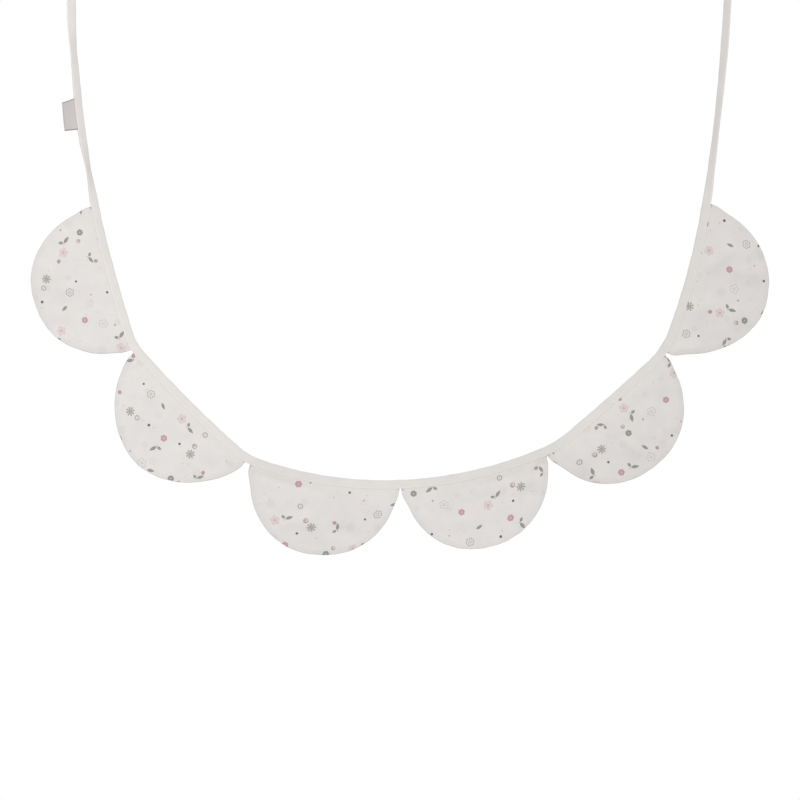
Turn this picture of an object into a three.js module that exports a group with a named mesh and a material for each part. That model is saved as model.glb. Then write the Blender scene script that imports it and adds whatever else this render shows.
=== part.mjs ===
// Bunting of half-moon flags, hung as a shallow swag by the two ends of its heading tape.
// Millimetres, +Z up, +X along the swag from left to right, and the flags' fronts look along -Y.
// The origin is the top of the left tape end, where the swag is pinned up.
import * as THREE from 'three';

// Heading tape: a strip of cloth folded along its length, open on the side where the flags hang.
const TAPE_WIDTH = 12;
const TAPE_LAYER = 0.65;
const FOLD_WALL = 1.4;

// Half the space between the tape's two layers: pressed shut, or round a flag or the label.
const SHUT = 0.2;
const HELD = 0.85;

// The most that the tape may turn, tilt or run on between two of its cross sections.
const STEP_TURN = 3;
const STEP_TILT = 4;
const STEP_LENGTH = 20;

// A flag's two layers of cloth, sewn along the arc and pressed flat as one sheet.
const FLAG_THICKNESS = 1.0;
const FLAG_INSERT = 7.5;
const FLAG_COLUMNS = 22;
const FLAG_ROWS = 9;

// Where the arc meets the tape the cloth turns a small corner, and its seam reaches on as an ear.
const CORNER_DROP = 6.0;
const EAR_REACH = 4.2;
const EAR_DROP = 3.0;

// Below the tape's mouth a flag leaves the tape's tilt and hangs plumb over about this distance.
const ROOT_BEND = 18;

// Shallow folds drawn in beside the ears: their height, their count down the flag, and the share
// of the half width where they start.
const GATHER_HEIGHT = 0.9;
const GATHER_TURNS = 1.4;
const GATHER_START = 0.72;

// Share of the depth over which a flag's waves grow to full height.
const WAVE_START = 0.35;

// Side label: a folded woven tab held in the left string, its outer edge sagging and curled a little.
const LABEL_WIDTH = 17;
const LABEL_HEIGHT = 40;
const LABEL_THICKNESS = 1.0;
const LABEL_ALONG = 206;
const LABEL_SAG = 3;
const LABEL_CURL = 1.2;
const LABEL_STEPS = 6;

// The run of the tape, a row for each section. length is measured along the tape. turn is how far
// its heading swings over the section. tilt, about its own length, and gap hold at the section's end.
const START_HEADING = -90.5;
const START_TILT = 0;
const SECTIONS = [
  { name: 'left end', length: 60, turn: 0, tilt: 0, gap: SHUT },
  { name: 'left string top', length: 70, turn: 5.4, tilt: 46, gap: SHUT },
  { name: 'left string above label', length: 50, turn: 0.8, tilt: 30, gap: HELD },
  { name: 'left string at label', length: 60, turn: 2.2, tilt: 30, gap: HELD },
  { name: 'left string below label', length: 44, turn: 1.6, tilt: 64, gap: SHUT },
  { name: 'left string foot', length: 42, turn: 2.8, tilt: 30, gap: HELD },
  { name: 'flag 1', length: 178, turn: 5.4, tilt: 18, gap: HELD },
  { name: 'bend 1', length: 28, turn: 23.9, tilt: 8, gap: HELD },
  { name: 'flag 2', length: 176, turn: 6.7, tilt: 5, gap: HELD },
  { name: 'bend 2', length: 36, turn: 22.5, tilt: -6, gap: HELD },
  { name: 'flag 3', length: 184, turn: 21.3, tilt: 6, gap: HELD },
  { name: 'flag 4', length: 197, turn: 21.3, tilt: -4, gap: HELD },
  { name: 'bend 4', length: 37, turn: 16.7, tilt: 14, gap: HELD },
  { name: 'flag 5', length: 141, turn: 2.5, tilt: 12, gap: HELD },
  { name: 'bend 5', length: 51, turn: 27, tilt: 4, gap: HELD },
  { name: 'flag 6', length: 166, turn: 11.2, tilt: 12, gap: HELD },
  { name: 'right string foot', length: 48, turn: 2.2, tilt: 45, gap: SHUT },
  { name: 'right string middle', length: 120, turn: 1.5, tilt: 48, gap: SHUT },
  { name: 'right string top', length: 98, turn: 1.8, tilt: 0, gap: SHUT },
  { name: 'right end', length: 60, turn: 0, tilt: 0, gap: SHUT },
];

// The flags, from left to right. from and to name where each arc meets the tape, as distances along
// it. depth is the drop below the tape's mouth, lean slides the hem along the tape, and power is
// how full the arc is, with 2 for a true half ellipse. swing carries the hem away from the viewer,
// and ripple, waves and phase give the height, number and start of its soft waves.
const FLAGS = [
  { from: 332, to: 518, depth: 102, lean: 3, power: 2.1, swing: 5, ripple: 1.6, waves: 1.5, phase: 0.4 },
  { from: 527, to: 725, depth: 95, lean: 3, power: 1.85, swing: -3, ripple: 1.4, waves: 2.0, phase: 1.9 },
  { from: 736, to: 927, depth: 94, lean: -1, power: 2.1, swing: 4, ripple: 1.8, waves: 1.5, phase: 0.0 },
  { from: 937, to: 1121, depth: 91, lean: -4, power: 2.2, swing: -6, ripple: 1.5, waves: 2.0, phase: 2.6 },
  { from: 1130, to: 1321, depth: 98, lean: 0, power: 2.1, swing: 3, ripple: 1.7, waves: 1.5, phase: 3.4 },
  { from: 1332, to: 1525, depth: 98, lean: -4, power: 1.95, swing: -4, ripple: 1.9, waves: 2.0, phase: 1.0 },
];

const FRONT = new THREE.Vector3(0, -1, 0);
const UP = new THREE.Vector3(0, 0, 1);

const CLOTH_WHITE = 0xdedbd6;
const TAPE_WHITE = 0xdad9d5;
const LABEL_GREY = 0xc4c1bf;

function smooth(t) {
  const k = Math.min(Math.max(t, 0), 1);
  return k * k * (3 - 2 * k);
}

function blend(a, b, t) {
  return a + (b - a) * t;
}

function sinc(angle) {
  return Math.abs(angle) < 1e-6 ? 1 : Math.sin(angle) / angle;
}

// The place reached after a distance on an arc that starts at a point with a heading in radians.
function alongArc(start, distance, bend) {
  const half = (bend * distance) / 2;
  const chord = distance * sinc(half);
  return {
    x: start.x + chord * Math.cos(start.heading + half),
    z: start.z + chord * Math.sin(start.heading + half),
    heading: start.heading + bend * distance,
  };
}

// Each section with the distance, place, tilt and gap at which it starts.
function laidSections() {
  let at = 0;
  let place = { x: 0, z: 0, heading: THREE.MathUtils.degToRad(START_HEADING) };
  let tilt = START_TILT;
  let gap = SHUT;
  return SECTIONS.map((section) => {
    const bend = THREE.MathUtils.degToRad(section.turn) / section.length;
    const laid = { ...section, at, place, bend, startTilt: tilt, startGap: gap };
    at += section.length;
    place = alongArc(place, section.length, bend);
    tilt = section.tilt;
    gap = section.gap;
    return laid;
  });
}

const LAID = laidSections();

// The tape at a distance along it: the middle of its mouth, the direction in which it opens, the
// direction that its front layer faces, and its gap. Its middle line runs in the plane Y = 0.
function tapeAt(distance) {
  const section = LAID.findLast((row) => row.at <= distance + 1e-9) ?? LAID[0];
  const into = distance - section.at;
  const share = smooth(into / section.length);
  const place = alongArc(section.place, into, section.bend);
  const tilt = THREE.MathUtils.degToRad(blend(section.startTilt, section.tilt, share));
  const outward = new THREE.Vector3(Math.sin(place.heading), 0, -Math.cos(place.heading));
  const back = new THREE.Vector3(0, 1, 0);
  const mouthward = outward.clone().multiplyScalar(Math.cos(tilt)).addScaledVector(back, -Math.sin(tilt));
  const frontward = back.multiplyScalar(-Math.cos(tilt)).addScaledVector(outward, -Math.sin(tilt));
  const mouth = new THREE.Vector3(place.x, 0, place.z).addScaledVector(mouthward, TAPE_WIDTH / 2);
  return { mouth, mouthward, frontward, gap: blend(section.startGap, section.gap, share) };
}

// Distances of the tape's cross sections: closer where a section turns or twists.
function tapeStations() {
  const stations = [0];
  LAID.forEach((section) => {
    const forTurn = Math.abs(section.turn) / STEP_TURN;
    const forTilt = Math.abs(section.tilt - section.startTilt) / STEP_TILT;
    const steps = Math.ceil(Math.max(forTurn, forTilt, section.length / STEP_LENGTH));
    for (let step = 1; step <= steps; step += 1) {
      stations.push(section.at + (section.length * step) / steps);
    }
  });
  return stations;
}

// Moves every corner of a geometry to the point that a function gives for it.
function reshape(geometry, move) {
  const corners = geometry.getAttribute('position');
  for (let i = 0; i < corners.count; i += 1) {
    const to = move(corners.getX(i), corners.getY(i), corners.getZ(i));
    corners.setXYZ(i, to.x, to.y, to.z);
  }
  geometry.deleteAttribute('normal');
  geometry.deleteAttribute('uv');
  geometry.computeVertexNormals();
  return geometry;
}

function clothMesh(name, geometry, color, roughness) {
  const material = new THREE.MeshStandardMaterial({ color, roughness, metalness: 0 });
  const mesh = new THREE.Mesh(geometry, material);
  mesh.name = name;
  return mesh;
}

// The folded strip's cross section, drawn pressed shut: x runs from the mouth to the fold.
function tapeSection() {
  const half = SHUT + TAPE_LAYER;
  const slotEnd = TAPE_WIDTH - FOLD_WALL;
  const roundAcross = half * (1 - Math.SQRT1_2);
  const roundThrough = half * Math.SQRT1_2;
  const section = new THREE.Shape();
  section.moveTo(0, -half);
  section.lineTo(TAPE_WIDTH - half, -half);
  section.lineTo(TAPE_WIDTH - roundAcross, -roundThrough);
  section.lineTo(TAPE_WIDTH, 0);
  section.lineTo(TAPE_WIDTH - roundAcross, roundThrough);
  section.lineTo(TAPE_WIDTH - half, half);
  section.lineTo(0, half);
  section.lineTo(0, SHUT);
  section.lineTo(slotEnd, SHUT);
  section.lineTo(slotEnd, -SHUT);
  section.lineTo(0, -SHUT);
  section.closePath();
  return section;
}

function headingTape() {
  const stations = tapeStations();
  const steps = stations.length - 1;
  const geometry = new THREE.ExtrudeGeometry(tapeSection(), { depth: steps, steps, bevelEnabled: false });
  return reshape(geometry, (across, through, step) => {
    const tape = tapeAt(stations[Math.round(step)]);
    const part = through + Math.sign(through) * (tape.gap - SHUT);
    return tape.mouth.addScaledVector(tape.mouthward, -across).addScaledVector(tape.frontward, part);
  });
}

// A flag's place on the tape: the middle and half length of its arc, and its own two directions.
function flagSpan(flag) {
  const along = tapeAt(flag.to).mouth.clone().sub(tapeAt(flag.from).mouth).setY(0).normalize();
  const down = new THREE.Vector3(along.z, 0, -along.x);
  return { middle: (flag.from + flag.to) / 2, half: (flag.to - flag.from) / 2, along, down };
}

// The columns of a flag from its left ear to its right one: a share of the arc's half length, past
// 1 on the ears, and the drop of the hem there.
function flagColumns(flag, half) {
  const inner = FLAG_COLUMNS - 2;
  const columns = [];
  for (let i = 0; i <= inner; i += 1) {
    const side = -Math.cos((Math.PI * i) / inner);
    const arc = (1 - Math.abs(side) ** flag.power) ** (1 / flag.power);
    columns.push({ side, hem: blend(CORNER_DROP, flag.depth, arc) });
  }
  const ear = 1 + EAR_REACH / half;
  return [{ side: -ear, hem: EAR_DROP }, ...columns, { side: ear, hem: EAR_DROP }];
}

// How far the cloth stands out of its plane, away from the viewer, at a share of width and drop.
function flagWave(flag, side, share) {
  const hang = smooth(share / WAVE_START);
  const ripple = flag.ripple * Math.sin(Math.PI * flag.waves * side + flag.phase) * blend(0.4, 1, share);
  const nearEar = smooth((Math.abs(side) - GATHER_START) / (1 - GATHER_START));
  const gather = GATHER_HEIGHT * Math.cos(2 * Math.PI * GATHER_TURNS * share) * nearEar;
  return flag.swing * share * share + hang * (ripple + gather);
}

function flagGeometry(flag) {
  const { middle, half, along, down } = flagSpan(flag);
  const columns = flagColumns(flag, half);
  const geometry = new THREE.BoxGeometry(FLAG_COLUMNS, FLAG_ROWS, 1, FLAG_COLUMNS, FLAG_ROWS, 1);
  return reshape(geometry, (x, y, z) => {
    const { side, hem } = columns[Math.round(x + FLAG_COLUMNS / 2)];
    const row = Math.round(y + FLAG_ROWS / 2);
    const tape = tapeAt(middle + side * half);
    const through = -z * FLAG_THICKNESS;
    if (row === 0) {
      return tape.mouth
        .addScaledVector(tape.mouthward, -FLAG_INSERT)
        .addScaledVector(tape.frontward, through);
    }
    const drop = (hem * (row - 1)) / (FLAG_ROWS - 1);
    const share = drop / flag.depth;
    const plumb = 1 - Math.exp(-drop / ROOT_BEND);
    const bent = tape.mouthward.clone().sub(down).multiplyScalar(ROOT_BEND * plumb);
    const front = tape.frontward.clone().lerp(FRONT, plumb).normalize();
    return tape.mouth
      .add(bent)
      .addScaledVector(down, drop)
      .addScaledVector(along, flag.lean * share)
      .addScaledVector(front, through - flagWave(flag, side, share));
  });
}

function sideLabel() {
  const geometry = new THREE.BoxGeometry(1, 1, 1, LABEL_STEPS, LABEL_STEPS, 1);
  return reshape(geometry, (x, y, z) => {
    const tape = tapeAt(LABEL_ALONG + x * LABEL_HEIGHT);
    const out = blend(-FLAG_INSERT, LABEL_WIDTH, y + 0.5);
    const free = Math.max(out, 0) / LABEL_WIDTH;
    const curl = LABEL_CURL * free * free * Math.cos(2.4 * x);
    return tape.mouth
      .addScaledVector(tape.mouthward, out)
      .addScaledVector(tape.frontward, curl - z * LABEL_THICKNESS)
      .addScaledVector(UP, -LABEL_SAG * free);
  });
}

const bunting = new THREE.Group();
bunting.name = 'bunting';
bunting.add(clothMesh('heading_tape', headingTape(), TAPE_WHITE, 0.9));
FLAGS.forEach((flag, index) => {
  bunting.add(clothMesh(`flag_${index + 1}`, flagGeometry(flag), CLOTH_WHITE, 0.88));
});
bunting.add(clothMesh('side_label', sideLabel(), LABEL_GREY, 0.8));

export default bunting;
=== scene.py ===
"""The looks of a bunting of half-moon flags: its tape, its printed flags, its stitches and its side label.

Lengths in the tables and in the form functions are millimetres. Meshes are made in metres.
A flag's chart is its cloth laid flat: u runs along the tape from the flag's middle, w is up from the
tape's mouth, so the cloth below the mouth has a negative w.
"""

import math
import random
from typing import NamedTuple

import bpy
import numpy as np
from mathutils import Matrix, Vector, geometry


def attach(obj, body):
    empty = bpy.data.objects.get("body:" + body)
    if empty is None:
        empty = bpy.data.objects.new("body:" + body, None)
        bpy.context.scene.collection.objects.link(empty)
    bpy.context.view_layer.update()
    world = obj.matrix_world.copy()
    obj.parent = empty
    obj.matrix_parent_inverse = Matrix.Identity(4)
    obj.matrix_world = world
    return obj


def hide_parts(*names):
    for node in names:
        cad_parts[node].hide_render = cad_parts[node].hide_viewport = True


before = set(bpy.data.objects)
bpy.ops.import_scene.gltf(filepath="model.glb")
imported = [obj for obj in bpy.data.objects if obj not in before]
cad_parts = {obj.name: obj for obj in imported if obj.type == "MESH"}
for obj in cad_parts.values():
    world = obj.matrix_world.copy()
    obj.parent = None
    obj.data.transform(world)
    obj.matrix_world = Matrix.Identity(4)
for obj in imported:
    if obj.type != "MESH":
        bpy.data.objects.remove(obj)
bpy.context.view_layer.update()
BODY = "root"
MM = 0.001

# Heading tape: a strip folded along its length, open on the side where the flags hang. The flat strip
# is its two faces and 2 mm over.
TAPE_WIDTH = 12.0
FOLD_AT = 11.4
TAPE_LAYER = 0.5
LIP_THINNER = 0.24
SHUT = 0.2
HELD = 0.6
TAPE_STEP = 1.6
END_ROUND = 0.7
END_THIN = 0.62
CLEAR_OF_SEAM = 10.0

# The seam that closes the tape, its distance from the mouth, and how near it pulls the two layers.
SEAM_IN = 1.8
SEAM_REACH = 2.4
SEAM_GAP_SHUT = 0.08
SEAM_GAP_HELD = 0.5
STITCH_PITCH = 2.6
STITCH_LENGTH = 2.1
STITCH_ASKEW = 5
THREAD_WIDTH = 0.34
THREAD_SINK = 0.16
THREAD_ARCH = 0.2
END_SEAM_IN = 4.0


class Section(NamedTuple):
    """A stretch of the tape. turn and tilt are degrees, and tilt and gap hold at the stretch's end."""

    length: float
    turn: float
    tilt: float
    gap: float


START_HEADING = -90.5
LABEL_GRIP = 0.56
SECTIONS = [
    Section(60, 0, 0, SHUT),  # left end
    Section(70, 5.4, 52, SHUT),  # left string top
    Section(50, 0.8, 42, LABEL_GRIP),  # left string above label
    Section(60, 2.2, 42, LABEL_GRIP),  # left string at label
    Section(44, 1.6, 66, SHUT),  # left string below label
    Section(42, 2.8, 36, HELD),  # left string foot
    Section(178, 5.4, 18, HELD),  # flag 1
    Section(28, 23.9, 8, HELD),  # bend 1
    Section(176, 6.7, 5, HELD),  # flag 2
    Section(36, 22.5, -6, HELD),  # bend 2
    Section(184, 21.3, 6, HELD),  # flag 3
    Section(197, 21.3, -4, HELD),  # flag 4
    Section(37, 16.7, 14, HELD),  # bend 4
    Section(141, 2.5, 12, HELD),  # flag 5
    Section(51, 27, 4, HELD),  # bend 5
    Section(166, 11.2, 12, HELD),  # flag 6
    Section(48, 2.2, 46, SHUT),  # right string foot
    Section(60, 0.75, 57, SHUT),  # right string lower middle
    Section(60, 0.75, 50, SHUT),  # right string upper middle
    Section(49, 0.9, 40, SHUT),  # right string lower top
    Section(49, 0.9, 44, SHUT),  # right string upper top
    Section(60, 0, 18, SHUT),  # right end
]
TAPE_LENGTH = sum(section.length for section in SECTIONS)


class Nudge(NamedTuple):
    """A soft sideways wander of the hanging tape: where, how far along it reaches, and how far over."""

    at: float
    reach: float
    over: float


NUDGES = [Nudge(295, 42, 1.5), Nudge(150, 50, 0.5), Nudge(1700, 140, 1.3)]

# A flag: two layers sewn along the arc, turned and pressed. Its rim holds the turned-in seam. At either
# end of the arc its corner is an ear, from a little below the tape's mouth up into the tape.
FLAG_INSERT = 7.5
CORNER_DROP = 4.0
EAR_REACH = 0.6
EAR_DROP = 1.5
FLARE_REACH = 14.0
ROOT_BEND = 18.0
HALF_THICK = 0.4
HALF_THICK_RIM = 0.48
SEAM_ALLOWANCE = 6.0
ALLOWANCE_SOFT = 0.8
ALLOWANCE_RIDGE = 0.05
ALLOWANCE_SHADE = 0.35
RIM_SHADE_REACH = 0.9
RIM_ROUND = 0.7
RIM_STRIP = 0.25
RIM_RINGS = (0.45, 0.7, 1.2, 2.2, 3.6, 5.2, 6.2, 7.2, 8.6)
COARSE_FROM = 2.0
CLEAR_OF_PRINT = 0.5
ARC_STEPS = 210
TOP_STEP = 1.5
LATTICE = 2.6

# Folds drawn in beside the ears, and where a flag's waves reach their full height.
GATHER_HEIGHT = 0.9
GATHER_TURNS = 1.4
GATHER_START = 0.72
WAVE_START = 0.35


class Flag(NamedTuple):
    """A flag between two distances along the tape. Its arc is drawn in at either end, has a fullness on
    either side, and spreads again to a corner beyond the flag's end, near the tape's start and far from
    it. lean slides the hem along the tape, swing carries it away from the viewer, and the rest shape its
    soft waves."""

    start: float
    stop: float
    depth: float
    lean: float
    near_in: float
    near_full: float
    near_corner: float
    far_in: float
    far_full: float
    far_corner: float
    swing: float
    ripple: float
    waves: float
    phase: float


# depth, lean and the six columns of the arc are rounded results of a fit to the photo's outline.
FLAGS = [
    Flag(332, 518, 101.5, -1.6, 3.3, 1.97, 0.8, 0, 2.36, 3.2, 5, 1.6, 1.5, 0.4),
    Flag(527, 725, 95.2, 3.1, 0.7, 1.83, 0.2, 1.2, 1.80, 1.3, -3, 1.4, 2.0, 1.9),
    Flag(736, 927, 92.8, -6.4, 4.0, 2.0, 1.2, 1.6, 2.34, 1.6, 4, 1.8, 1.5, 0.0),
    Flag(937, 1121, 90, -5.4, 1.0, 2.1, 4.8, 0, 2.22, 2.6, -6, 1.5, 2.0, 2.6),
    Flag(1130, 1321, 96.5, 1.8, 2.0, 2.27, 4.2, 2.9, 2.07, 1.8, 3, 1.7, 1.5, 3.4),
    Flag(1332, 1525, 97.6, -8.2, 3.8, 1.84, 3.8, 3.1, 2.14, 1.5, -4, 1.9, 2.0, 1.0),
]


class Crease(NamedTuple):
    """A soft ridge, or a trough where the height is negative, at a place of a flag's chart."""

    u: float
    w: float
    turn: float
    length: float
    width: float
    height: float


# Picked from the photo's shading. A program turned most of the places and angles into u, w and turn.
CREASES = [
    [
        Crease(45, -80, 90, 16, 9, -2.2),
        Crease(-49, -69, 135, 16, 9, -1.6),
        Crease(84, -6, 145, 12, 6, -1.6),
        Crease(4, -43, 95, 24, 11, 1.2),
    ],
    [
        Crease(25, -35, 54, 14, 9, -1.4),
        Crease(74, -33, 34, 12, 9, -1.2),
        Crease(-25, -43, 4, 22, 10, 1.2),
        Crease(-88, -22, 104, 10, 7, -1.4),
    ],
    [
        Crease(-52, -9, 0, 40, 5, -1.3),
        Crease(-20, -54, 17, 24, 9, 1.8),
        Crease(38, -59, 171, 20, 9, -1.6),
        Crease(64, -21, 34, 16, 9, 1.3),
    ],
    [
        Crease(-84, -38, 132, 14, 10, 2.0),
        Crease(62, -38, 7, 11, 8, -2.0),
        Crease(82, -10, 32, 12, 5, -1.6),
        Crease(28, -9, 0, 30, 5, -1.1),
        Crease(-17, -51, 175, 24, 10, 1.5),
    ],
    [
        Crease(-12, -59, 94, 15, 9, 2.6),
        Crease(36, -84, 159, 13, 9, -2.4),
        Crease(-58, -26, 169, 22, 11, 1.7),
        Crease(50, -34, 120, 20, 10, -1.4),
    ],
    [
        Crease(-4, -60, 4, 62, 21, 3.0),
        Crease(-30, -22, 141, 18, 10, 2.8),
        Crease(-40, -80, 126, 14, 10, -3.6),
        Crease(-86, -20, 114, 18, 8, 2.4),
        Crease(32, -24, 142, 26, 9, 3.0),
        Crease(30, -62, 100, 18, 9, 2.4),
        Crease(52, -78, 106, 14, 9, -3.0),
    ],
]

# Side label: a woven ribbon folded in two, its raw ends held in the left string.
LABEL_WIDTH = 17.0
LABEL_HEIGHT = 41.0
LABEL_LAYER = 0.3
LABEL_GAP = 0.08
LABEL_ALONG = 209.3
LABEL_TILT_TOP = 32.0
LABEL_TILT_FOOT = 10.0
LABEL_SAG = 2.2
LABEL_SKEW = 5.6
LABEL_CURL = 1.2
LABEL_INSERT = 7.5
LABEL_STEPS = 50

FRONT = np.array([0.0, -1.0, 0.0])
BACK = np.array([0.0, 1.0, 0.0])
UP = np.array([0.0, 0.0, 1.0])


def smooth(t):
    k = np.clip(t, 0.0, 1.0)
    return k * k * (3 - 2 * k)


def blend(a, b, t):
    return a + (b - a) * t


def bell(t):
    return np.exp(-t * t)


def unit(rows):
    """The rows' directions, each of length one."""
    return rows / np.linalg.norm(rows, axis=1)[:, None]


def tilted(outward, tilt):
    """Two ways of cloth tilted away from the viewer: the way it leads outward, and the way it faces."""
    return outward * np.cos(tilt) - BACK * np.sin(tilt), FRONT * np.cos(tilt) - outward * np.sin(tilt)


def wobble(t, wavelength, seed):
    """A smooth uneven wave of about unit height along t, the same on each run."""
    draw = random.Random(seed)
    total = 0.0
    for stretch in (1.0, 0.61, 0.37):
        total = total + stretch * np.sin(math.tau * (t / (wavelength * stretch) + draw.random()))
    return total / 1.5


def crinkle(u, w, wavelength, seed):
    """A smooth uneven surface of about unit height over a chart, the same on each run."""
    draw = random.Random(seed)
    total = 0.0
    for _ in range(7):
        way = draw.uniform(0, math.tau)
        pitch = wavelength * draw.uniform(0.6, 1.7)
        across = u * math.cos(way) + w * math.sin(way)
        along = u * math.sin(way) - w * math.cos(way)
        bowed = across + 0.25 * pitch * np.sin(math.tau * along / (2.3 * pitch))
        total = total + np.sin(math.tau * (bowed / pitch + draw.random()))
    return total / 3.5


class Tape(NamedTuple):
    """The tape at some distances: its mouth, the way it opens, the way its front faces, its half gap."""

    mouth: np.ndarray
    mouthward: np.ndarray
    frontward: np.ndarray
    gap: np.ndarray


def laid_sections():
    """A row for each section: where it starts along the tape and in space, its bend, tilts and gaps."""
    rows = []
    at, x, z, tilt, gap = 0.0, 0.0, 0.0, 0.0, SHUT
    heading = math.radians(START_HEADING)
    for section in SECTIONS:
        bend = math.radians(section.turn) / section.length
        rows.append((at, x, z, heading, bend, section.length, tilt, section.tilt, gap, section.gap))
        half = bend * section.length / 2
        chord = section.length * np.sinc(half / math.pi)
        at += section.length
        x += chord * math.cos(heading + half)
        z += chord * math.sin(heading + half)
        heading += bend * section.length
        tilt, gap = section.tilt, section.gap
    return np.array(rows)


LAID = laid_sections()


def tape_at(distance):
    distance = np.atleast_1d(np.asarray(distance, float))
    which = np.clip(np.searchsorted(LAID[:, 0], distance + 1e-9, side="right") - 1, 0, len(LAID) - 1)
    at, x, z, heading, bend, length, tilt_from, tilt_to, gap_from, gap_to = LAID[which].T
    into = distance - at
    half = bend * into / 2
    chord = into * np.sinc(half / math.pi)
    share = smooth(into / length)
    tilt = np.radians(blend(tilt_from, tilt_to, share))[:, None]
    reached = heading + bend * into
    level = np.zeros_like(reached)
    outward = np.stack([np.sin(reached), level, -np.cos(reached)], 1)
    mouthward, frontward = tilted(outward, tilt)
    wander = sum(nudge.over * bell((distance - nudge.at) / nudge.reach) for nudge in NUDGES)
    reached_x = x + chord * np.cos(heading + half) + wander
    reached_z = z + chord * np.sin(heading + half)
    middle = np.stack([reached_x, level, reached_z], 1)
    return Tape(middle + mouthward * TAPE_WIDTH / 2, mouthward, frontward, blend(gap_from, gap_to, share))


# Meshes.


def place_object(name, data):
    """An object of the scene, at the origin. The camera and the light are moved from there."""
    made = bpy.data.objects.new(name, data)
    bpy.context.scene.collection.objects.link(made)
    return made


def new_object(name, points, faces):
    """A smooth-shaded mesh object in metres, from points in millimetres."""
    mesh = bpy.data.meshes.new(name)
    mesh.from_pydata((np.asarray(points) * MM).tolist(), [], faces)
    mesh.update()
    mesh.shade_smooth()
    return place_object(name, mesh)


def set_chart(made, chart):
    """Gives each corner the flat place of its point, in metres, as the UV map that the weave follows."""
    layer = made.data.uv_layers.new(name="cloth")
    corners = np.zeros(len(made.data.loops), np.int32)
    made.data.loops.foreach_get("vertex_index", corners)
    layer.data.foreach_set("uv", (np.asarray(chart)[corners] * MM).ravel())


def set_share(made, name, values):
    """A number for each point, which a material reads by its name."""
    attribute = made.data.attributes.new(name, "FLOAT", "POINT")
    attribute.data.foreach_set("value", np.asarray(values, np.float32))


def lofted(rings, size):
    """Faces between rings of the same number of points, closed by a cap at each end."""
    faces = []
    for ring in range(rings - 1):
        for k in range(size):
            a, b = ring * size + k, ring * size + (k + 1) % size
            faces.append((a, b, b + size, a + size))
    faces.append(tuple(reversed(range(size))))
    faces.append(tuple((rings - 1) * size + k for k in range(size)))
    return faces


# The heading tape.


def seam_pull(across):
    """How much of the seam's hold reaches a distance from the mouth: all of it from the mouth to the seam."""
    return bell(np.maximum(across - SEAM_IN, 0) / SEAM_REACH)


def tape_gaps(distance, gap):
    """Half the space between the layers, away from the seam and at it."""
    held = (gap - SHUT) / (HELD - SHUT)
    full = gap + 0.04 + 0.06 * wobble(distance, 23, 11)
    return full, blend(SEAM_GAP_SHUT, SEAM_GAP_HELD, held)


def tape_hollow(distance, gap, across):
    """Half the space inside the tape at a distance from the mouth."""
    full, seam = tape_gaps(distance, gap)
    return blend(full, seam, seam_pull(across))


def tape_half(distance, gap, across):
    """Half the tape's thickness over its flat part, at a distance from the mouth."""
    lip = bell(across / 0.9) * (0.04 * wobble(distance, 12, 5) - LIP_THINNER)
    dimple = 0.05 * np.cos(math.tau * distance / STITCH_PITCH) * bell((across - SEAM_IN) / 1.2)
    return tape_hollow(distance, gap, across) + TAPE_LAYER + lip + dimple


def tape_profile(distance, gap):
    """The folded strip's section at some distances, as places across and through, around its skin."""
    outer_flat = (0.3, 0.8, 1.3, 1.8, 2.3, 3.0, 4.0, 5.4, 7.0, 8.6)
    inner_flat = (0.5, 1.3, 1.8, 2.3, 3.2, 5.5, 8.6)
    whole = tape_half(distance, gap, CLEAR_OF_SEAM)
    centre = FOLD_AT - whole
    front = [(0.05, tape_half(distance, gap, 0.0) - 0.1)]
    front += [(across, tape_half(distance, gap, across)) for across in outer_flat]
    front.append((centre - 0.6, whole))
    turn = [math.radians(angle) for angle in (0, 22, 44, 66, 90)]
    fold = [(centre + whole * math.sin(a), whole * math.cos(a)) for a in turn]
    hollow = whole - TAPE_LAYER
    inner_fold = [(centre + hollow * math.sin(a), hollow * math.cos(a)) for a in (turn[4], turn[2], turn[0])]
    inner = [(across, tape_hollow(distance, gap, across)) for across in reversed(inner_flat)]
    inner.append((0.05, tape_hollow(distance, gap, 0.0) + 0.08))
    outside = front + fold[:-1]
    inside = inner_fold[1:] + inner
    tip = [(-0.05 + 0 * distance, (tape_half(distance, gap, 0.0) + tape_hollow(distance, gap, 0.0)) / 2)]
    loop = tip + outside + [fold[-1]] + [(a, -t) for a, t in reversed(outside)]
    loop += [(a, -t) for a, t in tip] + [(a, -t) for a, t in reversed(inside)]
    loop += [inner_fold[0]] + inside
    across = np.stack([a + 0 * distance for a, _ in loop], 1)
    through = np.stack([t + 0 * distance for _, t in loop], 1)
    edge = 0.18 * wobble(distance, 15, 3)[:, None] * np.clip(1 - across / 4, 0, 1)
    crown = 0.22 * wobble(distance, 37, 4)[:, None] * np.clip(across / TAPE_WIDTH, 0, 1) ** 3
    return across + edge + crown, through


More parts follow.
